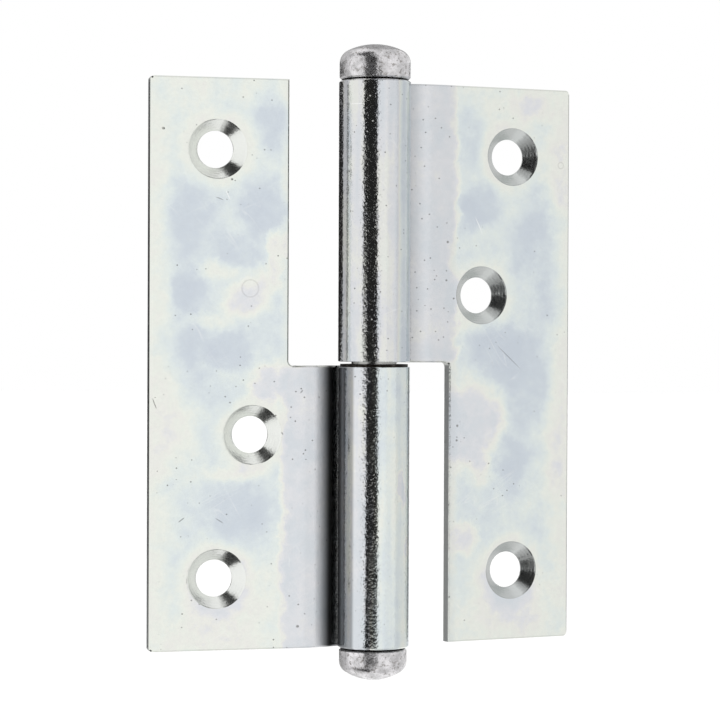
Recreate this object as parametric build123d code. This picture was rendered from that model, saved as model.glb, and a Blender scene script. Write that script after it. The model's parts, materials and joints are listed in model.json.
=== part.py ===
from build123d import *
import math
import os

os.makedirs("parts", exist_ok=True)

# Lift-off hinge in millimetres: two stamped and rolled steel leaves on one fixed pin.
# +X runs from the frame leaf to the door leaf, +Y goes into the frame, +Z is up along the pin.
# The origin lies on the mounting face of the frame leaf, midway between its end screw holes.

# Leaf stamping, the same for both leaves
leaf_height = 80.0
leaf_reach = 32.3  # pin axis to outer edge
sheet = 1.8
set_back = 0.3  # pin axis to the leaf's front face
outer_corner_r = 0.6
edge_break = 0.22  # bevel along the stamped outline, on both sides of the sheet

# Notch that makes room for the other leaf's knuckle
notch_reach = 12.4  # pin axis to the notch's upright edge
notch_corner_r = 0.7

# Crank between the flat leaf and its knuckle
crank_flat = 1.4  # flat left between the notch and the bend
crank_r = 12.0  # bend radius at mid sheet
seam_angle = 364.0  # where the roll ends, from the leaf round the back

# Pin, knuckles and washer
pin_r = 3.2
running_gap = 0.1
press_gap = 0.01
knuckle_end = 0.38  # middle of the leaf to the knuckle's end
washer_r = 4.8
washer_thickness = 0.4
washer_slack = 0.15
edge_gap = 0.08  # between the leaves' level edges once the door leaf sits on the washer

# Screw holes, countersunk from the front
screw_r = 2.6
countersink_r = 4.2
countersink_angle = 90.0
screw_end_margin = 10.0  # leaf end to the end holes
screw_edge_margin = 9.6  # outer edge to the end holes
middle_edge_margin = 14.7  # outer edge to the middle hole
middle_height = 9.9  # middle of the leaf to the middle hole

# Pin head below and plug above, each on a low neck that leaves a groove round its foot
neck_land = 0.8  # ring of the knuckle's end that a neck sits on
neck_height = 0.15
pin_head_r = 4.8
pin_head_height = 4.7
pin_head_flank = 2.0  # seat to where the straight flank turns into the dome
pin_head_shoulder_r = 1.8
pin_head_rim = 0.3
pin_seat_length = 12.0
pin_tip_chamfer = 0.9
cap_r = 5.03
cap_height = 5.2
cap_flank = 2.5
cap_shoulder_r = 2.0
cap_rim = 0.35
cap_spigot = 8.0
cap_spigot_chamfer = 0.5
tip_room = 2.0  # pin tip to the plug above it

# Door leaf at rest, turned back from flat
rest_angle = 10.8

# Values that follow
bore_r = pin_r + running_gap
knuckle_r = bore_r + sheet
roll_r = bore_r + sheet / 2
seat_r = bore_r - press_gap
neck_r = seat_r + neck_land
half = leaf_height / 2
notch_edge = knuckle_end - washer_thickness / 2 + edge_gap / 2
crank_start = notch_reach - crank_flat
bend_depth = set_back + sheet / 2 + crank_r
screw_reach = leaf_reach - screw_edge_margin
middle_reach = leaf_reach - middle_edge_margin
screw_height = half - screw_end_margin
pin_top = half - cap_spigot - tip_room
axis_x = screw_reach
axis_y = -(set_back + sheet)


def crank_lean():
    """Angle between the leaf and the straight run that meets the roll as a tangent."""
    between = math.hypot(crank_start, bend_depth)
    return math.degrees(math.asin((crank_r + roll_r) / between) - math.atan2(bend_depth, crank_start))


def rolled_section():
    """Sheet from the flat leaf through the crank and round the pin, seen along the pin."""
    lean = crank_lean()
    wrap = seam_angle - (90 - lean)
    with BuildSketch() as section:
        with BuildLine():
            front_bend = CenterArc((crank_start, bend_depth), crank_r + sheet / 2, 270, -lean)
            back_bend = CenterArc((crank_start, bend_depth), crank_r - sheet / 2, 270, -lean)
            bore = CenterArc((0, 0), bore_r, 90 - lean, wrap)
            skin = CenterArc((0, 0), knuckle_r, 90 - lean, wrap)
            Line(front_bend @ 0, back_bend @ 0)
            Line(front_bend @ 1, bore @ 0)
            Line(back_bend @ 1, skin @ 0)
            Line(bore @ 1, skin @ 1)
        make_face()
    return section.sketch


def leaf():
    """One leaf with its pin axis on Z, the plate towards +X, the knuckle in the upper half."""
    front = Plane(origin=(0, set_back, 0), x_dir=(1, 0, 0), z_dir=(0, -1, 0))
    inner_r = min(notch_corner_r, 0.9 * crank_flat)
    with BuildPart() as part:
        with BuildSketch(front):
            with BuildLine():
                Polyline(
                    (crank_start, notch_edge),
                    (notch_reach, notch_edge),
                    (notch_reach, -half),
                    (leaf_reach, -half),
                    (leaf_reach, half),
                    (crank_start, half),
                    close=True,
                )
            make_face()
        extrude(amount=-sheet)
        through = part.edges().filter_by(Axis.Y)
        fillet(through.group_by(Axis.X)[-1], outer_corner_r)
        notch_corner = through.filter_by(lambda e: abs(e.center().X - notch_reach) < 1e-3).sort_by(Axis.Z)[-1]
        fillet(notch_corner, inner_r)
        with BuildSketch(Plane.XY.offset(notch_edge)):
            add(rolled_section())
        extrude(amount=half - notch_edge)
        flats = part.faces().filter_by(Axis.Y).sort_by(Axis.Y)
        outlines = flats[0].outer_wire().edges() + flats[-1].outer_wire().edges()
        chamfer(outlines.filter_by(lambda e: e.center().X > crank_start + 1e-3), edge_break)
        with Locations((0, 0, notch_edge)):
            Cylinder(
                knuckle_r + running_gap,
                knuckle_end - notch_edge,
                align=(Align.CENTER, Align.CENTER, Align.MIN),
                mode=Mode.SUBTRACT,
            )
        with Locations(front):
            with Locations(
                (screw_reach, screw_height), (screw_reach, -screw_height), (middle_reach, middle_height)
            ):
                CounterSinkHole(screw_r, countersink_r, 2 * sheet, countersink_angle)
    return part.part


def turned_piece(widest_r, flank, height, shoulder_r, rim, shank):
    """Domed head on its neck, seated at Z = 0, with the shank below, from (radius, depth) corners."""
    rise = height - flank
    shoulder_r = min(shoulder_r, 0.9 * rise)
    inset = widest_r - shoulder_r
    crown_r = (inset**2 + rise**2 - shoulder_r**2) / (2 * (rise - shoulder_r))
    turn = math.degrees(math.atan2(crown_r - rise, inset))
    with BuildPart() as piece:
        with BuildSketch(Plane.XZ):
            with BuildLine():
                crown = CenterArc((0, height - crown_r), crown_r, 90, turn - 90)
                shoulder = CenterArc((inset, flank), shoulder_r, turn, -turn)
                bevel = [(widest_r, neck_height + rim), (widest_r - rim, neck_height)]
                neck = [(neck_r, neck_height), (neck_r, 0)]
                stem = [(r, -depth) for r, depth in shank]
                Polyline(shoulder @ 1, *bevel, *neck, *stem, (0, stem[-1][1]), crown @ 0)
            make_face()
        revolve(axis=Axis.Z)
    return piece.part


def hinge_pin():
    """Pin with its head at the bottom, pressed into the lower knuckle beside the head."""
    length = half + pin_top
    body = turned_piece(
        pin_head_r,
        pin_head_flank,
        pin_head_height,
        pin_head_shoulder_r,
        pin_head_rim,
        [
            (seat_r, 0),
            (seat_r, pin_seat_length),
            (pin_r, pin_seat_length + seat_r - pin_r),
            (pin_r, length - pin_tip_chamfer),
            (pin_r - pin_tip_chamfer, length),
        ],
    )
    return Location((0, 0, -half), (180, 0, 0)) * body


def top_cap():
    """Domed plug that closes the upper knuckle."""
    body = turned_piece(
        cap_r,
        cap_flank,
        cap_height,
        cap_shoulder_r,
        cap_rim,
        [
            (seat_r, 0),
            (seat_r, cap_spigot - cap_spigot_chamfer),
            (seat_r - cap_spigot_chamfer, cap_spigot),
        ],
    )
    return Location((0, 0, half)) * body


def washer():
    """Flat ring that lies on the lower knuckle."""
    with BuildPart() as ring:
        with BuildSketch(Plane.XY.offset(-knuckle_end)):
            Circle(washer_r)
            Circle(pin_r + washer_slack, mode=Mode.SUBTRACT)
        extrude(amount=washer_thickness)
    return ring.part


to_axis = Location((axis_x, axis_y, 0))
turned_back = to_axis * Location((0, 0, 0), (0, 0, rest_angle))

nodes = {
    "frame_leaf": to_axis * Location((0, 0, 0), (0, 180, 0)) * leaf(),
    "door_leaf": turned_back * leaf(),
    "hinge_pin": to_axis * hinge_pin(),
    "top_cap": turned_back * top_cap(),
    "washer": to_axis * washer(),
}

for name, solid in nodes.items():
    export_step(solid, f"parts/{name}.step")
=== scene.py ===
import json
import math
from functools import partial

import bmesh
import bpy
from mathutils import Matrix, Vector


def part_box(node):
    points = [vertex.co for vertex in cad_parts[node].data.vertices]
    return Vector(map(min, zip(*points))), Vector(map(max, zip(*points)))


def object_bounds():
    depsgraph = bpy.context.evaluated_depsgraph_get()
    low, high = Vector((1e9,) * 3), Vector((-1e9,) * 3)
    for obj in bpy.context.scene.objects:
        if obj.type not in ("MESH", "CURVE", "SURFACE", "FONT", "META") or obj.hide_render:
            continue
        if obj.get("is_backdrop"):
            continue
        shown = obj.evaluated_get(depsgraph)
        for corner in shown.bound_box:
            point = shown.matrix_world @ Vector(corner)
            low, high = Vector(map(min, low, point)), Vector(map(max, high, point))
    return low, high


# Finishes the solids of a lift-off hinge, and sets up the photograph's camera, room and floor

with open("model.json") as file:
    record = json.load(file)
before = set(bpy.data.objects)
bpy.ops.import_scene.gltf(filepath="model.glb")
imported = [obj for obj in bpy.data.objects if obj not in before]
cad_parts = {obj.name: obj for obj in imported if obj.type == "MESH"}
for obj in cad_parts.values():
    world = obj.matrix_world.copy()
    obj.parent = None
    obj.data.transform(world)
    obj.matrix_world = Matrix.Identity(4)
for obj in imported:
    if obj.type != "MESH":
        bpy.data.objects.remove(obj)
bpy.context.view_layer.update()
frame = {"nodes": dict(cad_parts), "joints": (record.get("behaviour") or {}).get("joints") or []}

MM = 0.001  # lengths are in metres
pin_axis = Vector(frame["joints"][0]["pos_m"])
frame_low, frame_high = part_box("frame_leaf")

# Leaf, measured from the pin axis along the plate
LEAF_REACH = pin_axis.x - frame_low.x
LEAF_END = frame_high.z
NOTCH_REACH = 12.4 * MM
CRANK_START = 11.0 * MM
KNUCKLE_R = 5.1 * MM
REST_ANGLE = 10.8  # degrees, the door leaf turned back from flat
SCREW_HOLES = ((22.7, 30.0), (22.7, -30.0), (17.6, 9.9))  # reach and height, in mm
COUNTERSINK_R = 4.2 * MM

# Camera at the photograph's place, fitted to the leaves' edges
IMAGE_WIDTH = 720
SENSOR_WIDTH = 36.0
FOCAL_PIXELS = 2851.9
VIEW_TURN = 16.256  # degrees from square on to the frame leaf
VIEW_DROP = 0.712  # degrees that it looks down
VIEW_ROLL = -0.241  # degrees
VIEW_DISTANCE = 403.7 * MM
AIM_RIGHT = -1.98 * MM
AIM_UP = 0.585 * MM
CLIP_START = 0.01
CLIP_END = 20.0


def view_axes():
    """The photograph's viewing direction, its right and its up."""
    turn, drop = math.radians(VIEW_TURN), math.radians(VIEW_DROP)
    ahead = Vector((math.sin(turn) * math.cos(drop), math.cos(turn) * math.cos(drop), -math.sin(drop)))
    right = Vector((math.cos(turn), -math.sin(turn), 0))
    return ahead, right, right.cross(ahead)


def place_camera():
    """Long lens aimed at the pin, as the photograph was taken."""
    ahead, right, up = view_axes()
    data = bpy.data.cameras.new("camera")
    data.sensor_width = SENSOR_WIDTH
    data.lens = FOCAL_PIXELS * SENSOR_WIDTH / IMAGE_WIDTH
    data.clip_start = CLIP_START
    data.clip_end = CLIP_END
    camera = bpy.data.objects.new("camera", data)
    bpy.context.scene.collection.objects.link(camera)
    aim = pin_axis + right * AIM_RIGHT + up * AIM_UP
    upright = Matrix((right, up, -ahead)).transposed()
    rolled = upright @ Matrix.Rotation(math.radians(-VIEW_ROLL), 3, "Z")
    camera.matrix_world = Matrix.Translation(aim - ahead * VIEW_DISTANCE) @ rolled.to_4x4()
    bpy.context.scene.camera = camera


def colour(code):
    """sRGB hex to the linear values that the nodes take."""
    parts = [int(code[i : i + 2], 16) / 255 for i in (1, 3, 5)]
    linear = [p / 12.92 if p <= 0.04045 else ((p + 0.055) / 1.055) ** 2.4 for p in parts]
    return (*linear, 1)


def add(tree, kind, inputs=(), **settings):
    """Adds a node with its settings and links.

    Its inputs, in socket order or by name, are values or the nodes and sockets that feed them.
    """
    made = tree.nodes.new("ShaderNode" + kind)
    for name, value in settings.items():
        setattr(made, name, value)
    fed = inputs.items() if isinstance(inputs, dict) else enumerate(inputs)
    for name, value in fed:
        if isinstance(value, bpy.types.Node):
            value = value.outputs[0]
        if isinstance(value, bpy.types.NodeSocket):
            tree.links.new(value, made.inputs[name])
        else:
            made.inputs[name].default_value = value
    return made


def new_tree(owner):
    """Empties the owner's node tree and gives the function that adds to it."""
    owner.use_nodes = True
    owner.node_tree.nodes.clear()
    return partial(add, owner.node_tree)


def link_mesh(name, bm):
    """Turns a finished bmesh into an object of that name."""
    mesh = bpy.data.meshes.new(name)
    bm.to_mesh(mesh)
    bm.free()
    made = bpy.data.objects.new(name, mesh)
    bpy.context.scene.collection.objects.link(made)
    return made


# Studio. A bearing is in degrees round the hinge, from the camera towards the picture's right, and a height
# is in degrees above level.
FLOOR_DROP = 30 * MM
FLOOR_REACH = 3.0
FLOOR_SIDES = 96
FLOOR_LIFT = 0.27  # glow that brings the lit floor to white for the eye
ROOM_LEVEL = 0.55  # the white room's strength as a light
STUDIO_R = 1.2
CARD_STEPS = 24
JOINT_LEVEL = -0.8  # height that the joint between the barrels mirrors, where the flags change

# What the metal mirrors: each card's bearings, heights and brightness, 1 for white. The dark flags draw the
# barrels' stripes and the shade on the leaves. Down to 44 degrees below level, and behind the hinge, they
# are low or narrow with greys beyond them, because views from above mirror those places, and wide dark ones
# would turn the flat leaves black.
CARDS = (
    ("upper_front_flag", (-36.5, 9), (JOINT_LEVEL, 44), 0.02),
    ("lower_front_flag", (-25, 14), (-9.5, JOINT_LEVEL), 0.02),
    ("lower_side_flag", (-30, -16), (-40, -9.5), 0.02),
    ("lower_front_reflector", (-16, 9), (-44, -9.5), 0.45),
    ("upper_left_flag", (-85, -14), (44, 80), 0.02),
    ("lower_left_flag", (-85, -14), (-80, -44), 0.02),
    ("upper_middle_reflector", (-14, 14), (44, 80), 0.62),
    ("lower_middle_reflector", (-14, 14), (-80, -44), 0.62),
    ("left_reflector", (-122, -93), (-47, 47), 0.60),
    ("upper_far_left_flag", (-170, -122), (JOINT_LEVEL, 8), 0.02),
    ("lower_far_left_flag", (-170, -136), (-8, JOINT_LEVEL), 0.02),
    ("lower_far_left_reflector", (-136, -122), (-8, JOINT_LEVEL), 0.60),
    ("far_left_low_reflector", (-170, -122), (-38, -8), 0.60),
    ("far_left_high_reflector", (-170, -122), (8, 38), 0.60),
    ("right_reflector", (40, 75), (-89, 89), 0.93),
    ("far_right_reflector", (75, 143), (-89, 89), 0.80),
    ("back_right_flag", (143, 160), (-8, 8), 0.22),
    ("back_reflector", (160, 190), (8, 70), 0.42),
)

# Wide soft lamps: bearing, height and strength
LAMP_WIDTH = 35  # degrees
LAMPS = (
    ("left_lamp", -60, 50, 0.8),
    ("right_lamp", 45, 60, 0.6),
)


def toward(bearing, height):
    """Direction from the hinge at a bearing and a height."""
    ahead, right, _ = view_axes()
    back = Vector((-ahead.x, -ahead.y, 0)).normalized()
    turn, rise = math.radians(bearing), math.radians(height)
    level = back * math.cos(turn) + right * math.sin(turn)
    return level * math.cos(rise) + Vector((0, 0, math.sin(rise)))


def hang_card(name, bearings, heights, bright):
    """Painted card, curved round the hinge, that only its metal sees, as an even grey in what it mirrors."""
    start, stop = bearings
    low, high = heights
    tilt_axis = toward(start, 0).cross(Vector((0, 0, 1)))
    bm = bmesh.new()
    corner = bm.verts.new(pin_axis + toward(start, low) * STUDIO_R)
    arc = {"cent": pin_axis, "steps": CARD_STEPS}
    bmesh.ops.spin(bm, geom=[corner], axis=tilt_axis, angle=math.radians(high - low), **arc)
    bmesh.ops.spin(bm, geom=bm.edges[:], axis=(0, 0, 1), angle=math.radians(stop - start), **arc)
    card = link_mesh(name, bm)
    material = bpy.data.materials.new("painted card")
    put = new_tree(material)
    paint = put("Emission", {"Color": (bright, bright, bright, 1), "Strength": 1.0})
    put("OutputMaterial", {"Surface": paint})
    card.data.materials.append(material)
    card.visible_camera = False
    card.visible_diffuse = False
    card.visible_shadow = False
    card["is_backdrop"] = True


def seen_directly(put):
    """1 where a ray comes from the camera or from polished metal or glass, 0 for what only gathers light."""
    path = put("LightPath").outputs
    seen = put("Math", (path["Is Camera Ray"], path["Is Glossy Ray"]), operation="MAXIMUM")
    return put("Math", (seen, path["Is Transmission Ray"]), operation="MAXIMUM")


def light_room():
    """White room to the eye and to the metal, dimmer as a light, and two wide soft lamps."""
    world = bpy.data.worlds.new("white_room")
    bpy.context.scene.world = world
    put = new_tree(world)
    level = put("MapRange", {"Value": seen_directly(put), "To Min": ROOM_LEVEL, "To Max": 1.0})
    put("OutputWorld", {"Surface": put("Background", {"Color": (1, 1, 1, 1), "Strength": level})})
    for name, bearing, height, strength in LAMPS:
        data = bpy.data.lights.new(name, "SUN")
        data.angle = math.radians(LAMP_WIDTH)
        data.energy = strength
        lamp = bpy.data.objects.new(name, data)
        bpy.context.scene.collection.objects.link(lamp)
        away = toward(bearing, height)
        lamp.location = pin_axis + away
        lamp.rotation_euler = away.to_track_quat("Z", "Y").to_euler()
        lamp.visible_glossy = False


def lay_floor():
    """Floor of matt white paint below the hinge. It looks white where it is lit, and keeps the shadow."""
    bm = bmesh.new()
    bmesh.ops.create_circle(bm, cap_ends=True, segments=FLOOR_SIDES, radius=FLOOR_REACH)
    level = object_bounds()[0].z - FLOOR_DROP
    bmesh.ops.translate(bm, verts=bm.verts, vec=(pin_axis.x, pin_axis.y, level))
    floor = link_mesh("floor", bm)
    material = bpy.data.materials.new("matt white paint")
    put = new_tree(material)
    lift = put("MapRange", {"Value": seen_directly(put), "To Min": 0.0, "To Max": FLOOR_LIFT})
    paint = put("BsdfDiffuse", {"Color": colour("#F0F0EF")})
    glow = put("Emission", {"Color": (1, 1, 1, 1), "Strength": lift})
    put("OutputMaterial", {"Surface": put("AddShader", (paint, glow))})
    floor.data.materials.append(material)
    floor.visible_glossy = False
    floor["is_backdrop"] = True


# Zinc finish of the leaves. Two values in brackets are where something starts to show and where it is full.
SMOOTH = {"interpolation_type": "SMOOTHSTEP"}
SEEDED = {"noise_dimensions": "4D"}  # the seed is the fourth coordinate, W
NOISE = (0.3, 0.7)  # where nearly all of a noise's values lie

# Relief, with the heights of its parts in units of the peel's depth
PEEL = 0.5 * MM  # orange peel of the plating on rolled sheet
PEEL_DEPTH = 0.016 * MM
BARREL_PEEL = 1.5  # the barrel is rougher than the plate by this much
SPECKLE = 0.26 * MM  # grit marks on the barrel, drawn coarser than they are so that they show
SPECKLE_NOISE = (0.56, 0.72)
SPECKLE_HEIGHT = 0.4
PIT_SPACING = 1.1 * MM
PIT_R = 0.13 * MM  # pores of the plating, drawn coarser than they are so that they show
PIT_CORE = 0.35  # share of the radius that is at full depth
PIT_DEPTH = 0.04 * MM
PIT_GROUPS = (0.48, 0.60)
RING_PITCH = 0.34 * MM  # turning rings of the countersinks, drawn as coarse as they need to show
RING_HEIGHT = 0.08
CONE_RISE = 0.124  # rise per width that makes the cone look about 5 degrees flatter, as in the photograph
BURR_WIDTH = 0.16 * MM  # raised rim round a countersink
BURR_HEIGHT = 0.8
TEAR = 0.22 * MM  # torn lines across a sheared edge, drawn as coarse as they need to show
TEAR_LENGTH = 1.1 * MM
TEAR_HEIGHT = 3.0

# Colour and roughness
GRAIN = 0.55 * MM  # crystals of the zinc, drawn coarser than they are so that they show
GRAIN_SHARE = 0.10
POROUS_SHARE = 0.2  # more of the same where the plating is porous
CLOUD = 8.0 * MM  # width of one cloud of interference colour
RAGGED = 2.0 * MM  # blotches within a cloud
DRIFT = 5.0 * MM  # how coarsely the clouds' borders wander
WANDER = 7.0 * MM  # and how far
KNUCKLE_WANDER = 6.0 * MM  # the same, where the knuckle's thicker film ends
STREAK = 1.6 * MM  # lines along the rolled barrel
STREAK_LENGTH = 30 * MM
HAIRLINE = 1.3 * MM  # spacing of handling scratches
HAIRLINE_LENGTH = 16 * MM
HAIRLINE_WIDTH = 0.012  # as a change of the noise that draws them
HAIRLINE_GROUPS = (0.50, 0.62)
HAIRLINE_ANGLES = (35, -62)  # degrees
HAIRLINE_SHARE = 0.22
LEAF_ROUGHNESS = (0.12, 0.19)  # smoothest and roughest

# Parts of a leaf. A reach runs from the pin axis along the plate, and a depth from it towards the back.
BARREL_FADE = (KNUCKLE_R + 1.2 * MM, KNUCKLE_R + 0.2 * MM)
RIM_FADE = (COUNTERSINK_R + 0.02 * MM, COUNTERSINK_R - 0.02 * MM)
CONE_LEAN = (0.97, 0.93)  # a countersink's faces lean this far off the plate's square
FACE_SQUARE = (0.82, 0.95)  # an edge's faces look nearly straight up, down or sideways
# Knuckle end face under a head, drawn nearly black as oil and painted shade
OIL_AND_SHADE_HEIGHT = (LEAF_END - 0.04 * MM, LEAF_END)
OIL_AND_SHADE_RADIUS = (KNUCKLE_R - 0.3 * MM, KNUCKLE_R - 0.6 * MM)
# Where the corner between plate and barrel is drawn dark, as painted shade and painted reflection
CORNER_SHADE_REACH = (2.9 * MM, 3.0 * MM)
CORNER_SHADE_DEPTH = (-3.45 * MM, -3.0 * MM)
CORNER_SHADE_FACING = (0.45, 0.25)  # none where the barrel looks back
FRONT_DEPTH = (1.2 * MM, 0.8 * MM)
BEND_REACH = (9.0 * MM, 7.8 * MM)
POROUS_REACH = (14.0 * MM, 12.5 * MM)

# Film thickness, as a place in the colours below, and where it changes
PLATE_FILM = 0.38
OUTER_EDGE_FILM = 0.62
OUTER_EDGE_REACH = (LEAF_REACH - 5 * MM, LEAF_REACH)
LEAF_END_FILM = 0.58
LEAF_END_HEIGHT = (LEAF_END - 9 * MM, LEAF_END)
BESIDE_NOTCH_FILM = 0.30
NOTCH_FILM = 0.56
NOTCH_FILM_REACH = (NOTCH_REACH + 2.4 * MM, NOTCH_REACH)
KNUCKLE_FILM = 0.90
KNUCKLE_FILM_REACH = (15.4 * MM, 12.0 * MM)
KNUCKLE_SIDE_HEIGHT = (-1.5 * MM, 1.0 * MM)
HOLE_FILM = 0.22  # more than round about
HOLE_FILM_RADIUS = (COUNTERSINK_R + 2.4 * MM, COUNTERSINK_R)
STREAK_FILM = (-0.18, 0.18)  # thinnest and thickest, against the film round about
CLOUD_FILM = (-0.13, 0.15)
RAGGED_FILM = (-0.08, 0.08)

FILM_COLOURS = (
    (0.00, "#CDD5DE"),  # thinnest film, blue
    (0.18, "#D3DBE2"),
    (0.34, "#DEE6E8"),
    (0.46, "#E5ECE9"),  # blue green
    (0.60, "#EDF0E8"),  # straw
    (0.72, "#EDEDE7"),
    (0.84, "#E4E5E8"),  # next order, violet grey
    (1.00, "#DADFE4"),
)

# Soft patches of thinner or thicker film: reach and height on the leaf, half width and half height,
# change of thickness, and how softly the patch ends
FRAME_LEAF_SPOTS = (
    ((14.8, -34.0), (2.6, 5.0), -0.26, 0.9),
    ((16.0, -21.6), (3.6, 4.4), -0.32, 0.6),
    ((20.0, -16.0), (3.6, 3.0), -0.28, 0.7),
    ((26.7, -20.0), (4.0, 6.0), -0.26, 0.9),
    ((26.9, -10.0), (2.6, 3.4), -0.28, 0.7),
    ((26.3, -2.5), (4.6, 5.6), -0.20, 0.9),
    ((20.9, -2.4), (3.2, 3.2), -0.28, 0.6),
    ((23.0, 4.0), (5.0, 2.6), -0.14, 0.9),
    ((19.6, 20.4), (6.0, 4.4), -0.24, 0.7),
    ((23.0, -13.3), (3.4, 1.6), 0.20, 0.8),
    ((24.3, -6.4), (2.6, 1.3), 0.18, 0.8),
    ((28.6, 11.0), (3.8, 8.0), 0.20, 0.9),
    ((21.0, 15.2), (5.0, 1.6), 0.20, 0.8),
    ((22.0, 33.5), (9.0, 6.4), 0.26, 0.8),
    ((18.6, -9.0), (3.6, 2.6), 0.42, 0.8),
    ((16.2, -12.0), (2.4, 2.2), 0.30, 0.8),
    ((14.0, -15.0), (1.6, 4.0), 0.30, 0.5),
    ((15.4, 2.2), (3.0, 2.6), 0.46, 0.7),
    ((-2.7, 17.5), (1.0, 2.6), 0.40, 0.4),
    ((-3.6, 26.0), (1.0, 2.2), 0.40, 0.4),
)
DOOR_LEAF_SPOTS = (
    ((16.2, 33.0), (2.6, 4.0), -0.16, 0.9),
    ((17.0, 22.6), (3.6, 4.0), -0.32, 0.6),
    ((26.6, 18.0), (4.4, 5.0), -0.28, 0.8),
    ((28.6, 10.5), (2.6, 5.0), -0.20, 0.8),
    ((20.4, 2.0), (5.4, 4.2), -0.32, 0.6),
    ((25.0, -1.5), (4.6, 8.0), -0.22, 0.8),
    ((22.4, -13.5), (3.6, 6.0), -0.28, 0.7),
    ((18.8, -20.0), (5.6, 2.6), -0.14, 0.9),
    ((26.0, 37.0), (6.5, 2.6), 0.26, 0.8),
    ((29.6, 28.5), (2.8, 7.0), 0.26, 0.8),
    ((30.0, -11.0), (2.2, 14.0), 0.20, 0.9),
    ((22.0, -33.0), (8.6, 6.4), 0.26, 0.8),
    ((16.2, -9.0), (5.8, 7.4), 0.54, 0.5),
    ((15.0, -25.0), (2.4, 2.4), 0.44, 0.8),
)

# Handling marks: kind, reach and height on the leaf, and the far end of a line or the radius of a spot
LINE_WIDTH = 0.14  # of a scratch or dash, in mm
LINE_FADE = (1.3, 0.5)  # from the middle, where 1 is the mark's edge
DOT_FADE = (1.1, 0.5)
RING_FADE = (0.16, 0.04)  # off the ring, in mm
MARK_SHARE = {"scratch": 0.6, "dash": 0.6, "ring": 0.2, "dot": 0.9}
FRAME_LEAF_MARKS = (
    ("scratch", (21.6, -24.3), (20.9, -22.9)),
    ("dash", (23.0, -23.3), (21.9, -22.9)),
    ("dot", (20.7, -25.8), 0.18),
    ("dot", (30.5, -32.7), 0.22),
    ("ring", (18.0, -10.6), 1.2),
    ("dot", (11.0, 36.9), 0.22),
    ("dash", (13.4, 9.5), (13.2, 9.9)),
    ("dash", (22.9, 21.5), (21.8, 22.2)),
    ("dash", (28.2, 22.0), (27.4, 21.4)),
    ("dash", (31.9, 4.8), (31.4, 6.1)),
    ("dash", (10.7, 4.1), (10.3, 3.6)),
)
DOOR_LEAF_MARKS = (
    ("ring", (30.8, 29.0), 0.45),
    ("scratch", (16.5, 21.2), (17.7, 18.8)),
    ("dash", (20.3, 2.6), (24.1, -0.7)),
    ("dot", (12.0, 17.5), 0.22),
    ("dot", (13.7, -8.9), 0.22),
    ("dot", (13.6, -11.0), 0.20),
    ("dot", (11.8, 12.0), 0.18),
    ("dot", (13.0, 9.4), 0.16),
    ("scratch", (-5.2, 36.5), (-3.0, 36.5)),
)


def span(put, place, centre, half_size, angle=0.0):
    """How far out a point of the leaf's face is from a centre, where 1 is the edge of an ellipse."""
    reach, up = centre
    wide, high = half_size
    onto = {
        "Location": (reach * MM, 0, up * MM),
        "Rotation": (0, angle, 0),
        "Scale": (wide * MM, 1, high * MM),
    }
    near = put("Mapping", {"Vector": place, **onto}, vector_type="TEXTURE")
    return put("VectorMath", (near,), operation="LENGTH").outputs["Value"]


def hole_distance(put, place):
    """Distance to the middle of the nearest screw hole, on the leaf's face."""
    nearest, *others = [span(put, place, hole, (1, 1)) for hole in SCREW_HOLES]
    for other in others:
        nearest = put("Math", (nearest, other), operation="MINIMUM")
    return put("Math", (nearest, MM), operation="MULTIPLY")


def barrel_film(put, place, reach, ends, seed):
    """Film round the barrel, in streaks, between two reaches that each have their own thickness."""
    (near_reach, near_film), (far_reach, far_film) = ends
    drawn = put("Mapping", {"Vector": place, "Scale": (1, 1, STREAK / STREAK_LENGTH)})
    lines = put("TexNoise", {"Vector": drawn, "W": seed, "Scale": 1 / STREAK}, **SEEDED)
    uneven = put("MapRange", (lines, *NOISE, *STREAK_FILM))
    side = put("MapRange", (reach, near_reach * MM, far_reach * MM, near_film, far_film), **SMOOTH)
    return put("Math", (side, uneven), operation="ADD")


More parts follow.
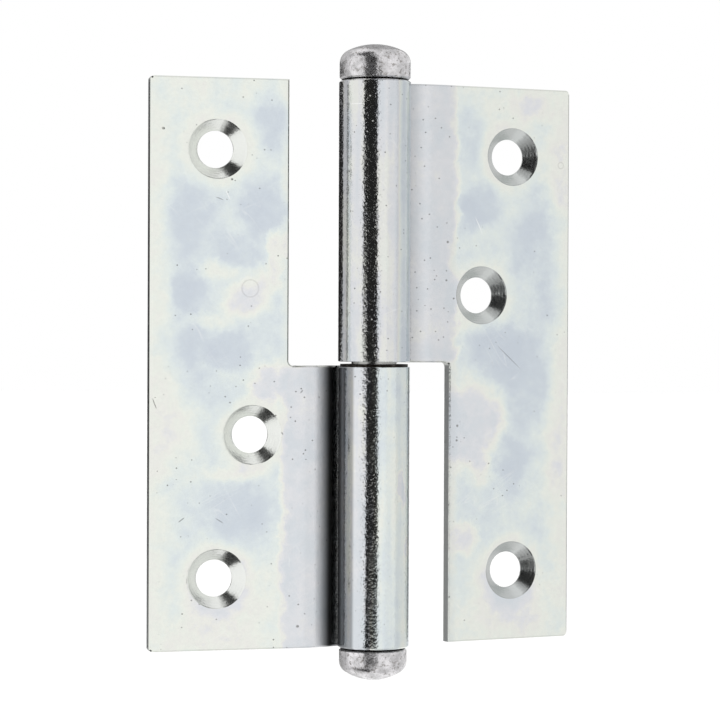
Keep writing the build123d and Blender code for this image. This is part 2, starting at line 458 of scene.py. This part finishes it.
def film_thickness(put, place, distances, barrel, spots, barrel_ends, seed):
    """Passivation film: thin on the plate, thicker to its edges, holes and knuckle, in soft patches."""
    reach, up, hole = distances
    warp = {"Vector": place, "W": seed, "Scale": 1 / DRIFT, "Detail": 5.0, "Roughness": 0.6}
    wander = put("TexNoise", warp, **SEEDED).outputs["Color"]
    moved = put("VectorMath", (wander, (0.5, 0.5, 0.5)), operation="SUBTRACT")
    ragged = put("VectorMath", (moved, (WANDER, 0, WANDER), place), operation="MULTIPLY_ADD")
    sideways = put("SeparateXYZ", (moved,)).outputs["X"]
    uneven_reach = put("Math", (sideways, KNUCKLE_WANDER, reach), operation="MULTIPLY_ADD")

    height = put("Math", (up,), operation="ABSOLUTE")
    outer = put("MapRange", (reach, *OUTER_EDGE_REACH, PLATE_FILM, OUTER_EDGE_FILM), **SMOOTH)
    ends = put("MapRange", (height, *LEAF_END_HEIGHT, PLATE_FILM, LEAF_END_FILM), **SMOOTH)
    knuckle_side = put("MapRange", (up, *KNUCKLE_SIDE_HEIGHT), **SMOOTH)
    knuckle = put("MapRange", (uneven_reach, *KNUCKLE_FILM_REACH, 0.0, KNUCKLE_FILM), **SMOOTH)
    beside_notch = put("MapRange", (reach, *NOTCH_FILM_REACH, BESIDE_NOTCH_FILM, NOTCH_FILM), **SMOOTH)
    on_knuckle_side = put("Math", (knuckle, knuckle_side), operation="MULTIPLY")
    thick = put("Math", (outer, ends), operation="MAXIMUM")
    thick = put("Math", (thick, beside_notch), operation="MAXIMUM")
    thick = put("Math", (thick, on_knuckle_side), operation="MAXIMUM")
    round_barrel = barrel_film(put, place, reach, barrel_ends, seed)
    thick = put("MapRange", {"Value": barrel, "To Min": thick, "To Max": round_barrel})

    for centre, half_size, change, softness in spots:
        out = span(put, ragged, centre, half_size)
        spot = put("MapRange", (out, 1 + softness / 2, 1 - softness, 0.0, change), **SMOOTH)
        thick = put("Math", (thick, spot), operation="ADD")

    cloud = {"Vector": place, "W": seed + 1, "Scale": 1 / CLOUD, "Detail": 5.0, "Roughness": 0.55}
    clouds = put("MapRange", (put("TexNoise", cloud, **SEEDED), *NOISE, *CLOUD_FILM))
    ripple = {"Vector": place, "W": seed + 2, "Scale": 1 / RAGGED, "Detail": 3.0, "Roughness": 0.6}
    ripples = put("MapRange", (put("TexNoise", ripple, **SEEDED), *NOISE, *RAGGED_FILM))
    holes = put("MapRange", (hole, *HOLE_FILM_RADIUS, 0.0, HOLE_FILM), **SMOOTH)
    for part in (clouds, ripples, holes):
        thick = put("Math", (thick, part), operation="ADD")
    return thick


def film_tint(put, thickness):
    """Pale interference colours of a blue passivation, by film thickness."""
    ramp = put("ValToRGB", (thickness,))
    stops = ramp.color_ramp.elements
    while len(stops) < len(FILM_COLOURS):
        stops.new(1.0)
    for stop, (at, code) in zip(stops, FILM_COLOURS):
        stop.position = at
        stop.color = colour(code)
    return ramp


def pits(put, place, seed, always=0.0):
    """Fine pores of the plating in loose groups, or everywhere where always is 1. A pore gives 1."""
    cells = put("TexVoronoi", {"Vector": place, "Scale": 1 / PIT_SPACING}).outputs
    radius = PIT_R / PIT_SPACING
    pore = put("MapRange", (cells["Distance"], radius, PIT_CORE * radius), **SMOOTH)
    group = {"Vector": place, "W": seed, "Scale": 1 / CLOUD}
    grouped = put("MapRange", (put("TexNoise", group, **SEEDED), *PIT_GROUPS), **SMOOTH)
    return put("Math", (pore, put("Math", (grouped, always), operation="MAXIMUM")), operation="MULTIPLY")


def hairlines(put, place, angle, seed):
    """Faint scratches from handling, all in about one direction, 1 on a scratch."""
    turned = put("Mapping", {"Vector": place, "Rotation": (0, math.radians(angle), 0)})
    drawn = put("Mapping", {"Vector": turned, "Scale": (1, 1, HAIRLINE / HAIRLINE_LENGTH)})
    lane = {"Vector": drawn, "W": seed, "Scale": 1 / HAIRLINE, "Detail": 1.0, "Roughness": 0.4}
    off_line = put("Math", (put("TexNoise", lane, **SEEDED), 0.5), operation="SUBTRACT")
    off_line = put("Math", (off_line,), operation="ABSOLUTE")
    line = put("MapRange", (off_line, HAIRLINE_WIDTH, 0.0), **SMOOTH)
    group = {"Vector": place, "W": seed + 4, "Scale": 1 / CLOUD}
    grouped = put("MapRange", (put("TexNoise", group, **SEEDED), *HAIRLINE_GROUPS), **SMOOTH)
    return put("Math", (line, grouped), operation="MULTIPLY")


def handling_marks(put, place, marks):
    """Marks at known places on a leaf: how much a point is darkened, and how much it is brightened."""
    dark, bright = 0.0, 0.0
    for kind, start, size in marks:
        if kind in ("dash", "scratch"):
            run, rise = size[0] - start[0], size[1] - start[1]
            middle = (start[0] + run / 2, start[1] + rise / 2)
            length = math.hypot(run, rise)
            out = span(put, place, middle, (length / 2, LINE_WIDTH / 2), -math.atan2(rise, run))
            fade = LINE_FADE
        elif kind == "ring":
            out = put("Math", (span(put, place, start, (size, size)), 1.0), operation="SUBTRACT")
            out = put("Math", (out,), operation="ABSOLUTE")
            fade = [off / size for off in RING_FADE]
        else:
            out = span(put, place, start, (size, size))
            fade = DOT_FADE
        mark = put("MapRange", (out, *fade, 0.0, MARK_SHARE[kind]), **SMOOTH)
        if kind == "scratch":
            bright = put("Math", (bright, mark), operation="MAXIMUM")
        else:
            dark = put("Math", (dark, mark), operation="MAXIMUM")
    return dark, bright


def leaf_place(put, turn):
    """Place and facing laid on a leaf: X from the pin axis along the plate, Y through it, Z up the leaf."""
    given = put("TexCoord").outputs
    turned = [math.radians(a) for a in turn]
    onto = {"Location": pin_axis, "Rotation": turned}
    laid = put("Mapping", {"Vector": given["Object"], **onto}, vector_type="TEXTURE")
    facing = put("Mapping", {"Vector": given["Normal"], "Rotation": turned}, vector_type="TEXTURE")
    return laid, facing


def leaf_zones(put, place, facing, corner_shade):
    """Distances that a leaf is drawn by, and its parts by how they were made, each 0 to 1."""
    reach, through, up = put("SeparateXYZ", (place,)).outputs
    sides = put("SeparateXYZ", (facing,)).outputs
    face_x, face_y, face_z = [put("Math", (side,), operation="ABSOLUTE") for side in sides]
    radius = put("VectorMath", (put("CombineXYZ", (reach, through)),), operation="LENGTH").outputs["Value"]
    height = put("Math", (up,), operation="ABSOLUTE")
    hole = hole_distance(put, place)
    zones = {"barrel": put("MapRange", (radius, *BARREL_FADE), **SMOOTH)}

    # The countersinks were cut, all other edges sheared
    inside = put("MapRange", (hole, *RIM_FADE), **SMOOTH)
    leaning = put("MapRange", (face_y, *CONE_LEAN), **SMOOTH)
    zones["sunk"] = put("Math", (inside, leaning), operation="MULTIPLY")
    past_crank = put("MapRange", (reach, CRANK_START, NOTCH_REACH), **SMOOTH)
    ends = put("MapRange", (face_z, *FACE_SQUARE), **SMOOTH)
    upright = put("MapRange", (face_x, *FACE_SQUARE), **SMOOTH)
    upright = put("Math", (upright, past_crank), operation="MULTIPLY")
    edges = put("Math", (ends, upright), operation="MAXIMUM")
    outside = put("Math", (1.0, inside), operation="SUBTRACT")
    zones["sheared"] = put("Math", (edges, outside), operation="MULTIPLY")

    # Painted shade, with some oil, in the joint under a head, and painted shade and painted reflection in
    # the corner between the plate and the barrel
    end_face = put("MapRange", (height, *OIL_AND_SHADE_HEIGHT), **SMOOTH)
    by_pin = put("MapRange", (radius, *OIL_AND_SHADE_RADIUS), **SMOOTH)
    zones["oil_and_shade"] = put("Math", (end_face, by_pin), operation="MULTIPLY")
    start, full, on_plate, on_barrel = corner_shade
    zones["corner_shade"] = put("MapRange", {"Value": zones["barrel"], "To Min": on_plate, "To Max": on_barrel})
    for value, limits in (
        (reach, (start * MM, full * MM)),
        (reach, CORNER_SHADE_REACH),
        (through, CORNER_SHADE_DEPTH),
        (sides["Y"], CORNER_SHADE_FACING),
    ):
        limit = put("MapRange", (value, *limits), **SMOOTH)
        zones["corner_shade"] = put("Math", (zones["corner_shade"], limit), operation="MULTIPLY")

    # Only the front has burrs and marks, and the crank's bend may be duller than the plate
    zones["front"] = put("MapRange", (through, *FRONT_DEPTH), **SMOOTH)
    bend = put("MapRange", (reach, *BEND_REACH), **SMOOTH)
    off_barrel = put("Math", (1.0, zones["barrel"]), operation="SUBTRACT")
    zones["bend"] = put("Math", (bend, off_barrel), operation="MULTIPLY")

    # The plating is more porous from the crank to the barrel
    zones["porous"] = put("MapRange", (reach, *POROUS_REACH), **SMOOTH)
    return (reach, up, hole), zones


def leaf_relief(put, place, hole, zones, hollow):
    """Bump of a leaf in units of the peel's depth."""
    sunk, sheared = zones["sunk"], zones["sheared"]
    peel = put("TexNoise", {"Vector": place, "Scale": 1 / PEEL})
    coarse = put("MapRange", {"Value": zones["barrel"], "To Min": 1.0, "To Max": BARREL_PEEL})
    parts = [put("Math", (peel, coarse), operation="MULTIPLY")]
    grit = put("TexNoise", {"Vector": place, "Scale": 1 / SPECKLE})
    grit = put("MapRange", (grit, *SPECKLE_NOISE), **SMOOTH)
    specks = put("Math", (grit, SPECKLE_HEIGHT), operation="MULTIPLY")
    parts.append(put("Math", (specks, zones["barrel"]), operation="MULTIPLY"))
    turns = put("Math", (hole, 2 * math.pi / RING_PITCH), operation="MULTIPLY")
    rings = put("Math", (put("Math", (turns,), operation="SINE"), RING_HEIGHT), operation="MULTIPLY")
    parts.append(put("Math", (rings, sunk), operation="MULTIPLY"))
    depth = put("Math", (hole, COUNTERSINK_R), operation="SUBTRACT")
    flatter = put("Math", (depth, -CONE_RISE / PEEL_DEPTH), operation="MULTIPLY")
    parts.append(put("Math", (flatter, sunk), operation="MULTIPLY"))
    off_rim = put("Math", (depth,), operation="ABSOLUTE")
    burr = put("MapRange", (off_rim, BURR_WIDTH, 0.0, 0.0, BURR_HEIGHT), **SMOOTH)
    parts.append(put("Math", (burr, zones["front"]), operation="MULTIPLY"))
    drawn = put("Mapping", {"Vector": place, "Scale": (1, TEAR / TEAR_LENGTH, 1)})
    tears = put("TexNoise", {"Vector": drawn, "Scale": 1 / TEAR})
    torn = put("Math", (tears, TEAR_HEIGHT), operation="MULTIPLY")
    parts.append(put("Math", (torn, sheared), operation="MULTIPLY"))
    parts.append(put("Math", (hollow, -PIT_DEPTH / PEEL_DEPTH), operation="MULTIPLY"))
    height = 0.0
    for part in parts:
        height = put("Math", (height, part), operation="ADD")
    return put("Bump", {"Height": height, "Strength": 1.0, "Distance": PEEL_DEPTH})


def plated_leaf(name, turn, spots, marks, barrel_ends, corner_shade, dulled, cut_and_shade_code, pitted, seed):
    """Blue-passivated zinc on cold-rolled strip, stamped and rolled.

    The eye sees satin silver with pale blue, straw and violet clouds, a finely pitted and rippled barrel,
    duller sheared edges and freshly turned countersinks.

    turn: degrees that lay the leaf's own axes in the scene
    barrel_ends: two reaches on the barrel, in mm, each with the film's thickness from there on
    grime: painted shade and reflection in the corner between plate and barrel: reaches where it starts and
    is full, in mm, and its shares on the plate and on the barrel
    dulled: how much rougher the crank's bend is
    cut_and_shade_code: colour of the cut countersinks, drawn darker on the door leaf as painted shade
    pitted: how porous the plating is from the crank to the barrel
    """
    material = bpy.data.materials.new(name)
    put = new_tree(material)
    place, facing = leaf_place(put, turn)
    distances, zones = leaf_zones(put, place, facing, corner_shade)
    hole = distances[-1]
    more_pits = put("Math", (zones["porous"], pitted), operation="MULTIPLY")
    crystal = {"Vector": place, "Scale": 1 / GRAIN, "Detail": 3.0, "Roughness": 0.65}
    crystals = put("MapRange", (put("TexNoise", crystal), *NOISE, 0.0, GRAIN_SHARE))
    crystals = put("Math", (more_pits, POROUS_SHARE, crystals), operation="MULTIPLY_ADD")
    uncut = put("Math", (1.0, zones["sunk"]), operation="SUBTRACT")
    pore = put("Math", (pits(put, place, seed, more_pits), uncut), operation="MULTIPLY")
    front_marks = handling_marks(put, place, marks)
    dark, bright = [put("Math", (mark, zones["front"]), operation="MULTIPLY") for mark in front_marks]
    hollow = put("Math", (pore, dark), operation="MAXIMUM")
    lines = [hairlines(put, place, angle, seed) for angle in HAIRLINE_ANGLES]
    lines = put("Math", lines, operation="MAXIMUM")
    scratches = put("Math", (lines, HAIRLINE_SHARE), operation="MULTIPLY")

    # Over the film's colour: where each layer lies, its share and its colour
    thickness = film_thickness(put, place, distances, zones["barrel"], spots, barrel_ends, seed)
    tint = film_tint(put, thickness)
    for amount, strength, code in (
        (crystals, 1.0, "#BCBFC2"),
        (scratches, 1.0, "#F6F6F4"),
        (bright, 1.0, "#FBFBFA"),
        (hollow, 0.7, "#65635E"),
        # cut countersinks; on the door leaf their darker colour is painted shade
        (zones["sunk"], 0.9, cut_and_shade_code),
        (zones["sheared"], 0.85, "#9A9C9C"),
        # painted shade and painted reflection in the corner between plate and barrel
        (zones["corner_shade"], 1.0, "#24211F"),
        # oil and painted shade in the joint under a head
        (zones["oil_and_shade"], 1.0, "#1D1A16"),
    ):
        share = put("Math", (amount, strength), operation="MULTIPLY")
        tint = put("MixRGB", (share, tint, colour(code)))

    dull = {"Vector": place, "W": seed, "Scale": 1 / RAGGED, "Detail": 4.0, "Roughness": 0.6}
    rough = put("MapRange", (put("TexNoise", dull, **SEEDED), *NOISE, *LEAF_ROUGHNESS))
    rougher = (("barrel", -0.05), ("sunk", 0.05), ("sheared", 0.16), ("bend", dulled), ("oil_and_shade", 0.2))
    for zone, more in rougher:
        rough = put("Math", (zones[zone], more, rough), operation="MULTIPLY_ADD")
    relief = leaf_relief(put, place, hole, zones, hollow)
    finish = {"Base Color": tint, "Metallic": 1.0, "Roughness": rough, "Normal": relief}
    put("OutputMaterial", {"Surface": put("BsdfPrincipled", finish)})
    return material


# Pin and plug
DOME_DENT = 1.1 * MM  # small dents of cold heading and handling
DOME_DENT_DEPTH = 0.10 * MM
DOME_BLOTCH = 1.5 * MM  # pale and grey mottling
DOME_GREY = (0.34, 0.66)
DOME_SPECK = 0.42 * MM  # brown specks
DOME_BROWN = (0.52, 0.68)
DOME_BROWN_SHARE = 0.75
DOME_SPECK_RELIEF = 0.3  # of the dents
DOME_PORE_SHARE = 0.7
DOME_ROUGHNESS = (0.20, 0.32)  # smoothest and roughest
DOME_FADE = (LEAF_END - 0.01 * MM, LEAF_END + 0.01 * MM)
FOOT_HEIGHT = (LEAF_END + 0.30 * MM, LEAF_END + 0.18 * MM)  # groove round a dome's foot, drawn nearly black as oily dirt and painted shade
SHANK_RING = 0.5 * MM  # grinding rings, drawn as coarse as they need to show
SHANK_SQUEEZE = 0.025  # of the rings' noise across the shank, so that they run round it
SHANK_WEAR = (0.4, 0.6)
SHANK_WEAR_SHARE = 0.4
SHANK_RELIEF = 0.1  # of the dents


def plated_head(name, shank_code, seed):
    """Zinc on a cold-headed steel pin or plug.

    The dome is a mottled, lightly dented silver grey with brown specks. The groove round its foot is drawn
    nearly black, as old oily dirt and painted shade. The shank is ground steel with faint rings.
    """
    material = bpy.data.materials.new(name)
    put = new_tree(material)
    given = put("TexCoord").outputs["Object"]
    place = put("Mapping", {"Vector": given, "Location": pin_axis}, vector_type="TEXTURE")
    up = put("Math", (put("SeparateXYZ", (place,)).outputs["Z"],), operation="ABSOLUTE")
    dome = put("MapRange", (up, *DOME_FADE), **SMOOTH)
    low = put("MapRange", (up, *FOOT_HEIGHT), **SMOOTH)
    foot = put("Math", (low, dome), operation="MULTIPLY")

    blotch = {"Vector": place, "W": seed, "Scale": 1 / DOME_BLOTCH, "Detail": 5.0, "Roughness": 0.65}
    blotches = put("TexNoise", blotch, **SEEDED)
    speck = {"Vector": place, "W": seed, "Scale": 1 / DOME_SPECK, "Detail": 2.0, "Roughness": 0.6}
    specks = put("TexNoise", speck, **SEEDED)
    grey = put("MapRange", (blotches, *DOME_GREY), **SMOOTH)
    tint = put("MixRGB", (grey, colour("#F0EEF0"), colour("#C6C5C6")))
    brown = put("MapRange", (specks, *DOME_BROWN, 0.0, DOME_BROWN_SHARE), **SMOOTH)
    tint = put("MixRGB", (brown, tint, colour("#8A8581")))
    pore = put("Math", (pits(put, place, seed), DOME_PORE_SHARE), operation="MULTIPLY")
    tint = put("MixRGB", (pore, tint, colour("#5A5550")))
    drawn = put("Mapping", {"Vector": place, "Scale": (SHANK_SQUEEZE, SHANK_SQUEEZE, 1)})
    rings = put("TexNoise", {"Vector": drawn, "Scale": 1 / SHANK_RING})
    worn = put("MapRange", (rings, *SHANK_WEAR, 0.0, SHANK_WEAR_SHARE), **SMOOTH)
    shank = put("MixRGB", (worn, colour(shank_code), colour("#A9A9A6")))
    tint = put("MixRGB", (dome, shank, tint))
    # The groove round the foot is painted nearly black: oily dirt and painted shade
    tint = put("MixRGB", (foot, tint, colour("#15120F")))

    dent = {"Vector": place, "W": seed, "Scale": 1 / DOME_DENT, "Detail": 3.0, "Roughness": 0.55}
    dents = put("TexNoise", dent, **SEEDED)
    dents = put("Math", (specks, DOME_SPECK_RELIEF, dents), operation="MULTIPLY_ADD")
    depth = put("MapRange", {"Value": dome, "To Min": SHANK_RELIEF, "To Max": 1.0})
    height = put("Math", (dents, depth), operation="MULTIPLY")
    relief = put("Bump", {"Height": height, "Strength": 1.0, "Distance": DOME_DENT_DEPTH})
    rough = put("MapRange", (blotches, *NOISE, *DOME_ROUGHNESS))
    finish = {"Base Color": tint, "Metallic": 1.0, "Roughness": rough, "Normal": relief}
    put("OutputMaterial", {"Surface": put("BsdfPrincipled", finish)})
    return material


# Washer
WASHER_WEAR = 0.8 * MM  # width of a rubbed patch
WASHER_BARE = (0.50, 0.75)
WASHER_MARK = 0.3 * MM  # tool marks, drawn as coarse as they need to show
WASHER_MARK_DEPTH = 0.02 * MM
WASHER_ROUGHNESS = (0.5, 0.3)  # roughest, and smoothest where it is rubbed


def oiled_ring(name):
    """Black-oxide steel washer. The eye sees a thin, nearly black ring with an oily sheen."""
    material = bpy.data.materials.new(name)
    put = new_tree(material)
    place = put("TexCoord").outputs["Object"]
    worn = put("TexNoise", {"Vector": place, "Scale": 1 / WASHER_WEAR, "Detail": 4.0, "Roughness": 0.6})
    bare = put("MapRange", (worn, *WASHER_BARE), **SMOOTH)
    tint = put("MixRGB", (bare, colour("#24211E"), colour("#5A5650")))
    tool_marks = put("TexNoise", {"Vector": place, "Scale": 1 / WASHER_MARK})
    relief = put("Bump", {"Height": tool_marks, "Strength": 1.0, "Distance": WASHER_MARK_DEPTH})
    rough = put("MapRange", (worn, *NOISE, *WASHER_ROUGHNESS))
    finish = {"Base Color": tint, "Metallic": 1.0, "Roughness": rough, "Normal": relief}
    put("OutputMaterial", {"Surface": put("BsdfPrincipled", finish)})
    return material


def dress(node, material):
    """Gives a carried-over node its finish."""
    for slot in frame["nodes"][node].material_slots:
        slot.material = material


bpy.context.scene.view_settings.view_transform = "Standard"
place_camera()
light_room()
for card in CARDS:
    hang_card(*card)
lay_floor()

frame_leaf_finish = plated_leaf(
    "blue-passivated zinc on rolled steel, frame leaf",
    turn=(0, 180, 0),
    spots=FRAME_LEAF_SPOTS,
    marks=FRAME_LEAF_MARKS,
    barrel_ends=((2.6, 0.90), (0.6, 0.42)),
    corner_shade=(7.6, 5.8, 0.94, 0.54),
    dulled=0.24,
    cut_and_shade_code="#EFF1ED",
    pitted=0.3,
    seed=3.0,
)
door_leaf_finish = plated_leaf(
    "blue-passivated zinc on rolled steel, door leaf",
    turn=(0, 0, REST_ANGLE),
    spots=DOOR_LEAF_SPOTS,
    marks=DOOR_LEAF_MARKS,
    barrel_ends=((0.8, 0.80), (2.1, 0.26)),
    corner_shade=(8.8, 6.0, 0.3, 0.0),
    dulled=0.0,
    # The door leaf's countersinks are drawn darker than the frame leaf's: painted shade.
    cut_and_shade_code="#CCCFCE",
    pitted=1.0,
    seed=11.0,
)
dress("frame_leaf", frame_leaf_finish)
dress("door_leaf", door_leaf_finish)
dress("hinge_pin", plated_head("zinc on cold-headed steel pin", "#C8C8C5", 2.0))
dress("top_cap", plated_head("zinc on cold-headed steel plug", "#C4C4C2", 6.0))
dress("washer", oiled_ring("black-oxide steel washer"))
